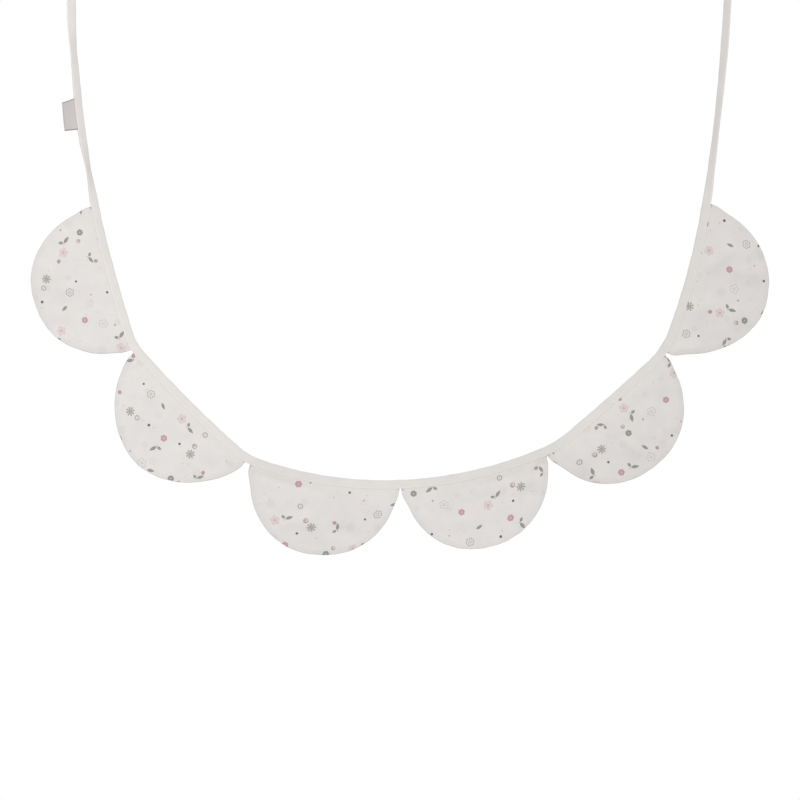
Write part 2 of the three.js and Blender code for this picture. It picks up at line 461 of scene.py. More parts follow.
def heading_tape():
    distance = np.linspace(0, TAPE_LENGTH, round(TAPE_LENGTH / TAPE_STEP) + 1)
    distance = np.sort(np.append(distance, [END_ROUND / 2, TAPE_LENGTH - END_ROUND / 2]))
    tape = tape_at(distance)
    across, through = tape_profile(distance, tape.gap)
    from_end = np.minimum(distance, TAPE_LENGTH - distance)
    through = through * blend(END_THIN, 1.0, smooth(from_end / END_ROUND))[:, None]
    rings, size = across.shape
    points = (
        tape.mouth[:, None, :]
        - tape.mouthward[:, None, :] * across[:, :, None]
        + tape.frontward[:, None, :] * through[:, :, None]
    )
    made = new_object("heading_tape_cloth", points.reshape(-1, 3), lofted(rings, size))
    steps = np.hypot(np.diff(across, axis=1), np.diff(through, axis=1)).mean(0)
    around = np.concatenate([[0], np.cumsum(steps)])
    chart = np.stack(np.broadcast_arrays(distance[:, None], around[None, :]), 2)
    set_chart(made, chart.reshape(-1, 2))
    # Painted shade: the tape is drawn darker towards its fold along the top edge.
    set_share(made, "painted_shade", bell((FOLD_AT - across) / 1.4).ravel())
    # Painted highlight: the tape is drawn lighter along its open edge, where the flags go in.
    set_share(made, "lip", bell((across - 0.4) / 1.2).ravel())
    return made


# The flags.


class Span(NamedTuple):
    """A flag's middle and half length along the tape, and its own two directions."""

    middle: float
    half: float
    along: np.ndarray
    down: np.ndarray


def flag_span(flag):
    ends = tape_at([flag.start, flag.stop]).mouth
    along = (ends[1] - ends[0]) * np.array([1, 0, 1])
    along /= np.linalg.norm(along)
    down = np.array([along[2], 0, -along[0]])
    return Span((flag.start + flag.stop) / 2, (flag.stop - flag.start) / 2, along, down)


def flag_outline(flag, half):
    """The flag's edge on its chart, anticlockwise from its top left corner, and where its arc lies in it."""
    side = -np.cos(np.linspace(0, math.pi, ARC_STEPS + 1))
    full = np.where(side < 0, flag.near_full, flag.far_full)
    drawn_in = np.where(side < 0, flag.near_in, flag.far_in)
    arc = (1 - np.abs(side) ** full) ** (1 / full)
    uneven = 0.22 * wobble(side * half, 26, int(flag.start)) * (1 - side**4)
    hem = blend(CORNER_DROP, flag.depth, arc) + uneven
    near, far = (half + corner + EAR_REACH for corner in (flag.near_corner, flag.far_corner))
    rise = np.arange(-EAR_DROP, FLAG_INSERT, TOP_STEP)
    left = [(-near, w) for w in rise[::-1]]
    right = [(far, w) for w in rise]
    top = [(u, FLAG_INSERT) for u in np.linspace(far, -near, round((far + near) / TOP_STEP))]
    spread = drawn_in + np.where(side < 0, flag.near_corner, flag.far_corner)
    flare = spread * bell((hem - CORNER_DROP) / FLARE_REACH) * smooth((np.abs(side) - 0.6) / 0.2)
    arc_points = np.stack([side * (half - drawn_in) + np.sign(side) * flare, -hem], 1)
    points = np.concatenate([left, arc_points, right, top])
    return points, slice(len(left), len(left) + len(arc_points))


def out_of_plane(flag, half, u, w):
    """How far the cloth stands away from the viewer: the solid's folds, then the creases and crinkles."""
    side = u / half
    share = -w / flag.depth
    hang = smooth(share / WAVE_START)
    ripple = flag.ripple * np.sin(math.pi * flag.waves * side + flag.phase) * blend(0.4, 1, share)
    near_ear = smooth((np.abs(side) - GATHER_START) / (1 - GATHER_START))
    gather = GATHER_HEIGHT * np.cos(math.tau * GATHER_TURNS * share) * near_ear
    away = flag.swing * share * share + hang * (ripple + gather)
    loose = smooth(-w / 6)
    for crease in CREASES[FLAGS.index(flag)]:
        turn = math.radians(crease.turn)
        run = (u - crease.u) * math.cos(turn) + (w - crease.w) * math.sin(turn)
        off = (w - crease.w) * math.cos(turn) - (u - crease.u) * math.sin(turn)
        away = away - loose * crease.height * bell(off / crease.width) * bell((run / crease.length) ** 2)
    return away + loose * 0.16 * crinkle(u, w, 26, int(flag.start) + 1)


def flag_surface(flag, span, chart, thick):
    """Points of the flag at places of its chart, a signed thickness in front of its middle."""
    u, w = chart.T
    drop = np.maximum(-w, 0)[:, None]
    tucked = np.maximum(w, 0)[:, None]
    tape = tape_at(span.middle + u)
    plumb = 1 - np.exp(-drop / ROOT_BEND)
    front = unit(blend(tape.frontward, FRONT, plumb))
    below = np.minimum(w, 0)
    away = np.where(w < 0, out_of_plane(flag, span.half, u, below), 0)[:, None]
    return (
        tape.mouth
        - tape.mouthward * tucked
        + (tape.mouthward - span.down) * ROOT_BEND * plumb
        + span.down * drop
        + span.along * flag.lean * drop / flag.depth
        + front * (np.asarray(thick)[:, None] - away)
    )


def distance_to_line(points, line):
    """The shortest distance from each point to an open line of straight pieces."""
    start, run = line[:-1], np.diff(line, axis=0)
    nearest = np.full(len(points), np.inf)
    for origin, step in zip(start, run):
        t = np.clip((points - origin) @ step / (step @ step), 0, 1)
        nearest = np.minimum(nearest, np.linalg.norm(points - origin - t[:, None] * step, axis=1))
    return nearest


def inside(points, outline):
    """Whether each point lies in a closed outline, by counting the edges to its right."""
    x, y = points.T
    within = np.zeros(len(points), bool)
    for (x0, y0), (x1, y1) in zip(outline, np.roll(outline, -1, axis=0)):
        if y0 != y1:
            within ^= ((y0 > y) != (y1 > y)) & (x < x0 + (y - y0) * (x1 - x0) / (y1 - y0))
    return within


def signed_area(points):
    x, y = np.asarray(points).T
    return 0.5 * float(np.sum(x * np.roll(y, -1) - y * np.roll(x, -1)))


def anticlockwise(outline):
    return outline if signed_area(outline) > 0 else outline[::-1]


def inset(outline, reach):
    """The outline moved inward, its points kept one to one."""
    before = unit(outline - np.roll(outline, 1, axis=0))
    after = unit(np.roll(outline, -1, axis=0) - outline)
    both = before + after
    inward = unit(np.stack([-both[:, 1], both[:, 0]], 1))
    across = np.stack([-after[:, 1], after[:, 0]], 1)
    return outline + inward * (reach / np.maximum((inward * across).sum(1), 0.5))[:, None]


# The print: small motifs, each a list of outlines with their inks, painted in order. Bare shows the
# cloth again. Inks are colours in linear light with their cover.

BARE = (0.0, 0.0, 0.0, 0.0)
ROSE = (0.49, 0.235, 0.29, 0.92)
DUSK = (0.36, 0.22, 0.245, 0.9)
BLUSH = (0.60, 0.44, 0.45, 0.85)
PALE_BLUSH = (0.66, 0.545, 0.54, 0.8)
SAGE = (0.20, 0.21, 0.18, 0.94)
STONE = (0.30, 0.305, 0.28, 0.9)
PENCIL = (0.34, 0.335, 0.31, 0.85)
COAL = (0.07, 0.065, 0.062, 0.96)
SHOW_THROUGH = (0.48, 0.455, 0.435, 0.16)


def disc(radius, x=0.0, y=0.0, corners=18):
    turn = np.linspace(0, math.tau, corners, endpoint=False)
    return np.stack([x + radius * np.cos(turn), y + radius * np.sin(turn)], 1)


def petals(radius, count, notch, phase=0.0, corners=9):
    """A round of joined petals: notch is the share of the radius that is lost between two of them."""
    turn = np.linspace(0, math.tau, count * corners, endpoint=False)
    lobe = np.abs(np.cos(count * (turn - phase) / 2)) ** 0.7
    reach = radius * (1 - notch * (1 - lobe))
    return np.stack([reach * np.cos(turn), reach * np.sin(turn)], 1)


def leaf(length, width, start=(0.0, 0.0), turn=0.0, corners=9):
    """A pointed leaf that leaves start at an angle in degrees, fullest a little before its middle."""
    t = np.linspace(0, 1, corners)
    bulge = width / 2 * np.sin(math.pi * t**0.85)
    upper = np.stack([length * t, bulge], 1)
    lower = np.stack([length * t, -bulge], 1)[-2:0:-1]
    return turned(np.concatenate([upper, lower]), turn) + np.array(start)


def stroke(start, stop, width):
    run = np.subtract(stop, start)
    off = np.array([-run[1], run[0]]) / np.linalg.norm(run) * width / 2
    return np.array([start - off, stop - off, stop + off, start + off])


def paddle(inner, outer, width, angle):
    """A blunt petal between two distances from a flower's middle, widest near its end."""
    along = np.array([inner, outer - 1.6, outer - 0.5, outer, outer - 0.5, outer - 1.6, inner])
    across = np.array([-0.25, -0.5, -0.36, 0.0, 0.36, 0.5, 0.25]) * width
    return turned(np.stack([along, across], 1), math.degrees(angle))


def turned(points, degrees):
    a = math.radians(degrees)
    return points @ np.array([[math.cos(a), math.sin(a)], [-math.sin(a), math.cos(a)]])


def around(count, start=0.0):
    """Directions evenly spread round a flower's middle, in radians."""
    return [start + math.tau * k / count for k in range(count)]


def spoke(angle, inner, outer, width):
    way = np.array([math.cos(angle), math.sin(angle)])
    return stroke(way * inner, way * outer, width)


def blossom():
    """A pale five-petalled flower with a fine line round it and short threads in its middle."""
    shapes = [(petals(6.2, 5, 0.36), BLUSH), (petals(5.5, 5, 0.38), PALE_BLUSH)]
    shapes += [(spoke(a, 1.5, 4.9, 0.4), BLUSH) for a in around(5)]
    shapes += [(spoke(a, 1.5, 3.4, 0.5), BLUSH) for a in around(5, math.pi / 5)]
    return shapes + [(disc(1.2), DUSK), (disc(0.5), PALE_BLUSH)]


def rosette():
    shapes = [(petals(4.7, 6, 0.2), ROSE)]
    shapes += [(spoke(a, 2.0, 3.4, 0.35), DUSK) for a in around(6, math.pi / 6)]
    return shapes + [(disc(1.3), BLUSH), (disc(0.5), DUSK)]


def daisy():
    shapes = [(paddle(1.2, 6.1, 2.3, way), STONE) for way in around(8)]
    return shapes + [(disc(2.2), STONE), (disc(0.6), PENCIL)]


def ring_flower():
    return [(petals(3.7, 6, 0.16), STONE), (petals(2.3, 6, 0.1), BARE), (disc(0.7), PENCIL)]


def full_flower():
    shapes = [(petals(4.2, 6, 0.18), SAGE)]
    shapes += [(spoke(a, 1.6, 3.2, 0.5), STONE) for a in around(6)]
    return shapes + [(disc(1.1), STONE), (disc(0.5), BARE)]


def rose_ring():
    return [(disc(3.3), DUSK), (disc(1.9, 0.4, 0.3), BARE), (disc(0.9, -0.2, 0.1), DUSK)]


def line_blossom():
    """A five-petalled flower in outline alone."""
    shapes = [(petals(6.2, 5, 0.36), PENCIL), (petals(5.65, 5, 0.38), BARE)]
    shapes += [(spoke(a, 1.7, 3.4, 0.4), PENCIL) for a in around(5, math.pi / 5)]
    return shapes + [(disc(1.25), PENCIL), (disc(0.75), BARE)]


def line_rosette():
    shapes = [(petals(5.5, 6, 0.26), STONE), (petals(4.5, 6, 0.26), BARE)]
    shapes += [(spoke(a, 1.4, 3.6, 0.5), PENCIL) for a in around(6, math.pi / 6)]
    return shapes + [(disc(1.5), PENCIL), (disc(0.9), BARE)]


def leaf_pair():
    big, small = leaf(10.8, 4.3), leaf(6.4, 3.9, (-0.4, 0.8), 118)
    veins = [(stroke((1.5, 0), (8.6, 0), 0.3), PENCIL), (spoke(math.radians(118), 1.8, 5.0, 0.3), PENCIL)]
    return [(stroke((-2.2, -1.6), (0.4, 0.2), 0.5), SAGE), (big, SAGE), (small, SAGE)] + veins


def lone_leaf():
    return [(leaf(10.0, 4.0, (-5.0, 0)), SAGE), (stroke((-3.4, 0), (3.2, 0), 0.3), PENCIL)]


def bud():
    return [(leaf(6.2, 4.8, (-3.1, 0), 0, 8), DUSK), (leaf(3.4, 1.8, (-0.9, 0.1), 0, 6), ROSE)]


def spot(radius, ink):
    return lambda: [(disc(radius, corners=10), ink)]


MOTIFS = {
    "blossom": blossom,
    "rosette": rosette,
    "daisy": daisy,
    "ring flower": ring_flower,
    "rose ring": rose_ring,
    "full flower": full_flower,
    "line blossom": line_blossom,
    "line rosette": line_rosette,
    "leaf pair": leaf_pair,
    "leaf": lone_leaf,
    "bud": bud,
    "coal dot": spot(2.1, COAL),
    "stone dot": spot(1.5, STONE),
    "rose dot": spot(1.2, ROSE),
    "speck": spot(0.75, PENCIL),
    "blush speck": spot(0.9, BLUSH),
}


class Motif(NamedTuple):
    """A motif of the print's repeat, at a place of it, turned by some degrees and scaled."""

    kind: str
    x: float
    y: float
    turn: float
    size: float


REPEAT_WIDTH = 158.0
REPEAT_HEIGHT = 140.0
REPEAT = [
    Motif("blossom", 16, 20, 12, 1.0),
    Motif("bud", 27, 27, 40, 1.0),
    Motif("leaf pair", 10, 10, 205, 1.0),
    Motif("daisy", 52, 38, 8, 1.0),
    Motif("ring flower", 61, 46, 0, 0.95),
    Motif("speck", 44, 30, 0, 1.0),
    Motif("rosette", 84, 18, 20, 1.0),
    Motif("stone dot", 98, 24, 0, 1.0),
    Motif("rose dot", 101, 31, 0, 1.0),
    Motif("line blossom", 118, 44, 30, 1.0),
    Motif("bud", 131, 38, 250, 0.95),
    Motif("leaf", 129, 54, 70, 1.0),
    Motif("coal dot", 72, 60, 0, 0.9),
    Motif("speck", 76, 66, 0, 1.0),
    Motif("leaf pair", 100, 66, 290, 1.0),
    Motif("rosette", 91, 77, 50, 0.95),
    Motif("full flower", 143, 78, 15, 1.0),
    Motif("rose ring", 150, 87, 0, 0.8),
    Motif("line rosette", 34, 68, 0, 1.0),
    Motif("coal dot", 20, 60, 0, 0.7),
    Motif("leaf", 51, 82, 15, 0.95),
    Motif("rose dot", 12, 84, 0, 0.9),
    Motif("blush speck", 15, 91, 0, 1.0),
    Motif("blossom", 70, 104, 45, 1.0),
    Motif("leaf pair", 82, 110, 35, 0.95),
    Motif("rosette", 36, 108, 5, 0.9),
    Motif("daisy", 116, 108, 20, 1.0),
    Motif("rose ring", 107, 115, 0, 1.0),
    Motif("coal dot", 101, 96, 0, 0.8),
    Motif("speck", 126, 96, 0, 1.0),
    Motif("line blossom", 18, 124, 0, 0.95),
    Motif("stone dot", 6, 133, 0, 0.9),
    Motif("bud", 142, 120, 160, 1.0),
    Motif("leaf pair", 148, 111, 100, 0.9),
    Motif("ring flower", 95, 131, 0, 1.0),
    Motif("blush speck", 56, 128, 0, 0.9),
    Motif("speck", 132, 12, 0, 1.1),
    Motif("coal dot", 150, 22, 0, 0.8),
    Motif("speck", 62, 6, 0, 1.0),
]


class Cut(NamedTuple):
    """Where a layer of a flag was cut from the printed cloth: a turn in degrees and a place."""

    turn: float
    x: float
    y: float


CUTS = [
    (Cut(74, 30, 62), Cut(12, 95, 20)),
    (Cut(38, 88, 74), Cut(160, 20, 90)),
    (Cut(4, 118, 120), Cut(200, 60, 30)),
    (Cut(-9, 60, 98), Cut(75, 130, 10)),
    (Cut(-38, 142, 70), Cut(290, 40, 50)),
    (Cut(-72, 20, 130), Cut(100, 80, 110)),
]


# A motif is drawn where its middle lies this near to the flag's, sideways, and between these heights.
DRAWN_BESIDE = 120
DRAWN_BELOW = -125
DRAWN_ABOVE = 12


def printed(cut, reach):
    """The painted outlines that a flag's layer carries, on its chart, as (middle, motif's shapes)."""
    shapes = []
    for column in range(-3, 4):
        for row in range(-3, 4):
            for motif in REPEAT:
                x = motif.x + column * REPEAT_WIDTH - cut.x
                y = motif.y + (row + 0.5 * (column % 2)) * REPEAT_HEIGHT - cut.y
                middle = turned(np.array([x, y]), -cut.turn) + np.array([0.0, -reach / 2])
                if abs(middle[0]) < DRAWN_BESIDE and DRAWN_BELOW < middle[1] < DRAWN_ABOVE:
                    drawn = [
                        (turned(outline * motif.size, motif.turn - cut.turn) + middle, ink)
                        for outline, ink in MOTIFS[motif.kind]()
                    ]
                    shapes.append(drawn)
    return shapes


def flag_chart(outline, arc, own, other):
    """Cuts the flag's chart into triangles along the printed outlines, and gives each its ink. Points of
    a motif that lie beyond the edge belong to no triangle and are left out."""
    edge = inset(outline, RIM_STRIP)
    painted = [(motif[0][0], SHOW_THROUGH) for motif in other] + [shape for motif in own for shape in motif]
    painted = [(anticlockwise(points), ink) for points, ink in painted if inside(points, edge).any()]
    printed_points = np.concatenate([points for points, _ in painted])
    low, high = outline.min(0), outline.max(0)
    columns = np.arange(low[0], high[0], LATTICE)
    rows = np.arange(low[1], high[1], LATTICE * 0.87)
    lattice = np.array([(u + (k % 2) * LATTICE / 2, w) for k, w in enumerate(rows) for u in columns])
    inner = lattice[inside(lattice, edge)]
    inner = inner[distance_to_line(inner, outline[arc]) > RIM_RINGS[-1] + 1.2]
    rings = []
    for reach in RIM_RINGS:
        ring = inset(outline, reach)[arc]
        ring = ring[distance_to_line(ring, outline) > reach - 0.05]
        rings.append(ring if reach < COARSE_FROM else ring[::2])
    fill = np.concatenate(rings + [inner])
    fill = fill[inside(fill, inset(outline, RIM_STRIP + 0.12))]
    gap = np.min(np.linalg.norm(fill[:, None, :] - printed_points[None, :, :], axis=2), axis=1)
    fill = fill[gap > CLEAR_OF_PRINT]
    points = np.concatenate([edge, printed_points, fill])
    faces = [list(range(len(edge)))]
    at = len(edge)
    for shape, _ in painted:
        faces.append(list(range(at, at + len(shape))))
        at += len(shape)
    cut = geometry.delaunay_2d_cdt([Vector(p) for p in points.tolist()], [], faces, 1, 1e-5, True)
    inks = [BARE] + [ink for _, ink in painted]
    kept = [(face, inks[max(within)]) for face, within in zip(cut[2], cut[5]) if 0 in within]
    used = sorted({k for face, _ in kept for k in face})
    chart = np.array([tuple(cut[0][k]) for k in used])
    new_place = {k: index for index, k in enumerate(used)}
    kept = [([new_place[k] for k in face], ink) for face, ink in kept]
    place = {source: new_place[k] for k in used for source in cut[3][k] if source < len(edge)}
    return chart, kept, [place[k] for k in range(len(edge))]


def rim_chains(faces, corners):
    """The layer's boundary as chains of points, one for each side of the outline."""
    edges = [edge for face in faces for edge in zip(face, face[1:] + face[:1])]
    known = set(edges)
    follow = {a: b for a, b in edges if (b, a) not in known}
    chains = []
    for k, corner in enumerate(corners):
        goal = corners[(k + 1) % len(corners)]
        chain = [corner]
        while chain[-1] != goal:
            chain.append(follow[chain[-1]])
        chains.append(chain)
    return chains


def flag_cloth(number, flag):
    """A flag's two printed layers, closed along a round rim whose own points come after both layers'."""
    span = flag_span(flag)
    outline, arc = flag_outline(flag, span.half)
    cuts = CUTS[number - 1]
    sides = [printed(cut, flag.depth) for cut in cuts]
    layers = [flag_chart(outline, arc, sides[side], sides[1 - side]) for side in (0, 1)]
    rim_from = sum(len(chart) for chart, _, _ in layers)
    points, charts, faces, inks, rim_painted_shade = [], [], [], [], []
    first = 0
    for (chart, kept, corners), cut, facing in zip(layers, cuts, (1, -1)):
        if signed_area(chart[kept[0][0]]) < 0:
            kept = [(face[::-1], ink) for face, ink in kept]
        from_arc = distance_to_line(chart, outline[arc])
        from_edge = distance_to_line(chart, np.concatenate([outline, outline[:1]]))
        from_allowance = from_arc - SEAM_ALLOWANCE
        thinned = smooth((from_allowance + ALLOWANCE_SOFT) / (2 * ALLOWANCE_SOFT))
        full = blend(HALF_THICK_RIM, HALF_THICK, thinned)
        full = full + ALLOWANCE_RIDGE * bell(from_allowance / ALLOWANCE_SOFT)
        lift = full * np.sqrt(1 - (1 - np.clip(from_edge / RIM_ROUND, 0, 1)) ** 2)
        points.append(flag_surface(flag, span, chart, facing * lift))
        charts.append(cloth_place(chart, cut, flag.depth, facing))
        # Painted shade: the cloth is drawn darker along the arc's rounded rim and over the seam allowance.
        rim_painted_shade.append(bell(from_arc / RIM_SHADE_REACH) + ALLOWANCE_SHADE * (1 - smooth(from_allowance / 1.2)))
        for face, ink in kept:
            faces.append([first + k for k in face[::facing]])
            inks.append(ink)
        for k, chain in enumerate(rim_chains([face for face, _ in kept], corners)):
            edge = [first + point for point in chain] + [rim_from + (k + 1) % len(outline)]
            for a, b in zip(edge, edge[1:]):
                faces.append([rim_from + k, a, b][::facing])
                inks.append(BARE)
        first += len(chart)
    points.append(flag_surface(flag, span, outline, np.zeros(len(outline))))
    charts.append(cloth_place(outline, cuts[0], flag.depth, 1))
    # Painted shade in full on the rim's own points.
    rim_painted_shade.append(np.full(len(outline), 1.0))
    made = new_object(f"flag_{number}_cloth", np.concatenate(points), faces)
    set_chart(made, np.concatenate(charts))
    # The share of painted shade that darkens each point of the flag.
    set_share(made, "painted_shade", np.clip(np.concatenate(rim_painted_shade), 0, 1))
    set_print(made, inks)
    return made, span


def cloth_place(chart, cut, reach, facing):
    """Where the chart's points lay on the printed cloth. The weave follows this."""
    placed = turned(chart + np.array([0.0, reach / 2]), cut.turn) + np.array([cut.x, cut.y])
    return placed if facing > 0 else placed + np.array([REPEAT_WIDTH, REPEAT_HEIGHT]) * 2


def set_print(made, inks):
    """Gives each face's corners the colour and cover of its ink."""
    attribute = made.data.color_attributes.new("print", "FLOAT_COLOR", "CORNER")
    corners = np.repeat(np.array(inks), [len(face.vertices) for face in made.data.polygons], axis=0)
    attribute.data.foreach_set("color", corners.astype(np.float32).ravel())


# The side label.


def side_label():
    along = np.linspace(-0.5, 0.5, LABEL_STEPS + 1)
    reach = (-LABEL_INSERT, -6, -3, -1, 1, 3, 5, 7, 9, 11, 13, 14.6, 15.8, 16.4)
    half = LABEL_GAP + LABEL_LAYER
    turn = [math.radians(a) for a in (20, 55, 90)]
    fold = [(LABEL_WIDTH - half + half * math.sin(a), half * math.cos(a)) for a in turn]
    hollow = [(LABEL_WIDTH - half + LABEL_GAP * math.sin(a), LABEL_GAP * math.cos(a)) for a in turn]
    outside = [(out, half) for out in reach] + fold[:-1]
    inside_line = [(out, LABEL_GAP) for out in reach] + hollow[:-1]
    loop = outside + [fold[-1]] + [(out, -t) for out, t in reversed(outside)]
    loop += [(out, -t) for out, t in inside_line]
    loop += [hollow[-1]] + [(out, t) for out, t in reversed(inside_line)]
    out, through = np.array(loop).T
    free = np.clip(out, 0, None) / LABEL_WIDTH
    tape = tape_at(LABEL_ALONG + along * LABEL_HEIGHT)
    uneven = crinkle(out[None, :], along[:, None] * LABEL_HEIGHT, 13, 77)
    curl = LABEL_CURL * free**2 * np.cos(2.4 * along)[:, None] + 0.12 * uneven * free
    near_edge = np.minimum(along + 0.5, 0.5 - along)[:, None] * LABEL_HEIGHT
    thin = np.sqrt(np.clip(near_edge / 0.5, 0.25, 1))
    bent = smooth(out / 4)[None, :, None]
    outward = unit(tape.mouthward * [1, 0, 1])
    lean = np.radians(blend(LABEL_TILT_TOP, LABEL_TILT_FOOT, along + 0.5))[:, None]
    level, facing = tilted(outward, lean)
    way = blend(tape.mouthward[:, None, :], level[:, None, :], bent)
    front = blend(tape.frontward[:, None, :], facing[:, None, :], bent)
    sag = LABEL_SAG + LABEL_SKEW * (0.1 - along)[:, None]
    points = (
        tape.mouth[:, None, :]
        + way * out[None, :, None]
        + front * (curl + through[None, :] * thin)[:, :, None]
        - UP * (sag * free[None, :])[:, :, None]
    )
    made = new_object("side_label_cloth", points.reshape(-1, 3), lofted(len(along), len(loop)))
    made.data.flip_normals()
    chart = np.stack(np.broadcast_arrays(out[None, :], along[:, None] * LABEL_HEIGHT), 2)
    set_chart(made, chart.reshape(-1, 2))
    return made


# Stitches, by Geometry Nodes: a thread arched over the cloth at each step of a seam's line.


class Tree:
    """A node tree under construction."""

    def __init__(self, tree):
        self.tree = tree

    def node(self, kind, settings=None, inputs=None, output=0):
        """Adds a node, sets its settings, then fills its inputs, and returns one of its outputs, if any."""
        made = self.tree.nodes.new(kind)
        for name, value in (settings or {}).items():
            setattr(made, name, value)
        for key, value in (inputs or {}).items():
            self.fill(made.inputs[key], value)
        return Value(self, made.outputs[output]) if len(made.outputs) else None

    def fill(self, socket, value):
        if isinstance(value, Value):
            self.tree.links.new(value.socket, socket)
        else:
            socket.default_value = value


class Value:
    """A node's output. Arithmetic on it adds Math nodes."""

    def __init__(self, owner, socket):
        self.owner = owner
        self.socket = socket

    def math(self, operation, *operands):
        inputs = dict(enumerate(operands))
        return self.owner.node("ShaderNodeMath", {"operation": operation}, inputs)

    def __add__(self, other):
        return self.math("ADD", self, other)

    def __radd__(self, other):
        return self.math("ADD", other, self)

    def __sub__(self, other):
        return self.math("SUBTRACT", self, other)

    def __rsub__(self, other):
        return self.math("SUBTRACT", other, self)

    def __mul__(self, other):
        return self.math("MULTIPLY", self, other)

    def __rmul__(self, other):
        return self.math("MULTIPLY", other, self)

    def sine(self):
        return self.math("SINE", self)

    def above(self, low, high):
        """0 under low, 1 over high, and smooth between."""
        return self.owner.node(
            "ShaderNodeMapRange",
            {"interpolation_type": "SMOOTHSTEP"},
            {"Value": self, "From Min": low, "From Max": high},
        )

    def output(self, index):
        return Value(self.owner, self.socket.node.outputs[index])


def stitching(material):
    """A tree that sews a line: an arched thread every pitch along it, facing the way its points say."""
    group = bpy.data.node_groups.new("stitching", "GeometryNodeTree")
    inputs = (
        ("Line", "NodeSocketGeometry", None),
        ("Pitch", "NodeSocketFloat", STITCH_PITCH * MM),
        ("Stitch Length", "NodeSocketFloat", STITCH_LENGTH * MM),
        ("Thread Width", "NodeSocketFloat", THREAD_WIDTH * MM),
        ("Sink", "NodeSocketFloat", THREAD_SINK * MM),
        ("Arch", "NodeSocketFloat", THREAD_ARCH * MM),
        ("Unevenness", "NodeSocketFloat", math.radians(STITCH_ASKEW)),
        ("Seed", "NodeSocketInt", 8),
    )
    for name, kind, default in inputs:
        socket = group.interface.new_socket(name, in_out="INPUT", socket_type=kind)
        if default is not None:
            socket.default_value = default
    group.interface.new_socket("Stitches", in_out="OUTPUT", socket_type="NodeSocketGeometry")
    tree = Tree(group)
    given = tree.node("NodeGroupInput")
    line, pitch, length, width, sink, arch, uneven, seed = (given.output(k) for k in range(len(inputs)))
    curve = tree.node("GeometryNodeMeshToCurve", None, {0: line})
    spaced = tree.node("GeometryNodeCurveToPoints", {"mode": "LENGTH"}, {"Curve": curve, "Length": pitch})
    facing = tree.node(
        "GeometryNodeInputNamedAttribute", {"data_type": "FLOAT_VECTOR"}, {"Name": "facing"}
    )
    laid = tree.node(
        "FunctionNodeAlignRotationToVector", {"axis": "X"}, {"Vector": spaced.output(1)}
    )
    stood = tree.node(
        "FunctionNodeAlignRotationToVector",
        {"axis": "Z", "pivot_axis": "X"},
        {"Rotation": laid, "Vector": facing},
    )
    swing = tree.node(
        "FunctionNodeRandomValue",
        {"data_type": "FLOAT"},
        {"Min": 0.0 - uneven, "Max": uneven, "Seed": seed},
        output=1,
    )
    askew = tree.node("FunctionNodeAxisAngleToRotation", None, {"Axis": (0, 0, 1), "Angle": swing})
    turned_by = tree.node(
        "FunctionNodeRotateRotation", {"rotation_space": "LOCAL"}, {"Rotation": stood, "Rotate By": askew}
    )
    low = 0.0 - sink
    ends = [tree.node("ShaderNodeCombineXYZ", None, {"X": length * k, "Z": low}) for k in (-0.5, 0.5)]
    top = tree.node("ShaderNodeCombineXYZ", None, {"Z": arch})
    arc = tree.node(
        "GeometryNodeCurveQuadraticBezier",
        None,
        {"Resolution": 5, "Start": ends[0], "Middle": top, "End": ends[1]},
    )
    round_of = tree.node(
        "GeometryNodeCurvePrimitiveCircle", {"mode": "RADIUS"}, {"Resolution": 6, "Radius": width * 0.5}
    )
    thread = tree.node(
        "GeometryNodeCurveToMesh", None, {"Curve": arc, "Profile Curve": round_of, "Fill Caps": True}
    )
    sewn = tree.node(
        "GeometryNodeInstanceOnPoints", None, {"Points": spaced, "Instance": thread, "Rotation": turned_by}
    )
    real = tree.node("GeometryNodeRealizeInstances", None, {0: sewn})
    finished = tree.node("GeometryNodeSetMaterial", None, {"Geometry": real, "Material": material})
    tree.node("NodeGroupOutput", None, {0: finished})
    return group


def seam_line():
    """The tape's seams as lines on its skin, front and back, and one across each end."""
    points, facings, edges = [], [], []

    def add(distance, across, side):
        tape = tape_at(distance)
        half = tape_half(np.asarray(distance), tape.gap, across)
        at = tape.mouth - tape.mouthward * np.reshape(across + 0 * half, (-1, 1))
        line = at + tape.frontward * (side * half)[:, None]
        first = sum(len(part) for part in points)
        points.append(line)
        facings.append(tape.frontward * side)
        edges.extend((first + k, first + k + 1) for k in range(len(line) - 1))

    for side in (1, -1):
        length = np.arange(END_SEAM_IN, TAPE_LENGTH - END_SEAM_IN, STITCH_PITCH / 2)
        add(length, SEAM_IN, side)
        for end in (END_SEAM_IN, TAPE_LENGTH - END_SEAM_IN):
            across = np.linspace(SEAM_IN + STITCH_PITCH, TAPE_WIDTH - SEAM_IN, 5)
            add(np.full(len(across), end), across, side)
    mesh = bpy.data.meshes.new("seam_line")
    mesh.from_pydata((np.concatenate(points) * MM).tolist(), edges, [])
    attribute = mesh.attributes.new("facing", "FLOAT_VECTOR", "POINT")
    attribute.data.foreach_set("vector", np.concatenate(facings).astype(np.float32).ravel())
    return place_object("seam_line", mesh)


def tape_stitches(material):
    line = seam_line()
    modifier = line.modifiers.new("stitching", "NODES")
    modifier.node_group = stitching(material)
    graph = bpy.context.evaluated_depsgraph_get()
    mesh = bpy.data.meshes.new_from_object(line.evaluated_get(graph))
    mesh.name = "tape_stitches"
    line.modifiers.remove(modifier)
    bpy.data.objects.remove(line)
    mesh.shade_smooth()
    return place_object("tape_stitches", mesh)


# Finishes.


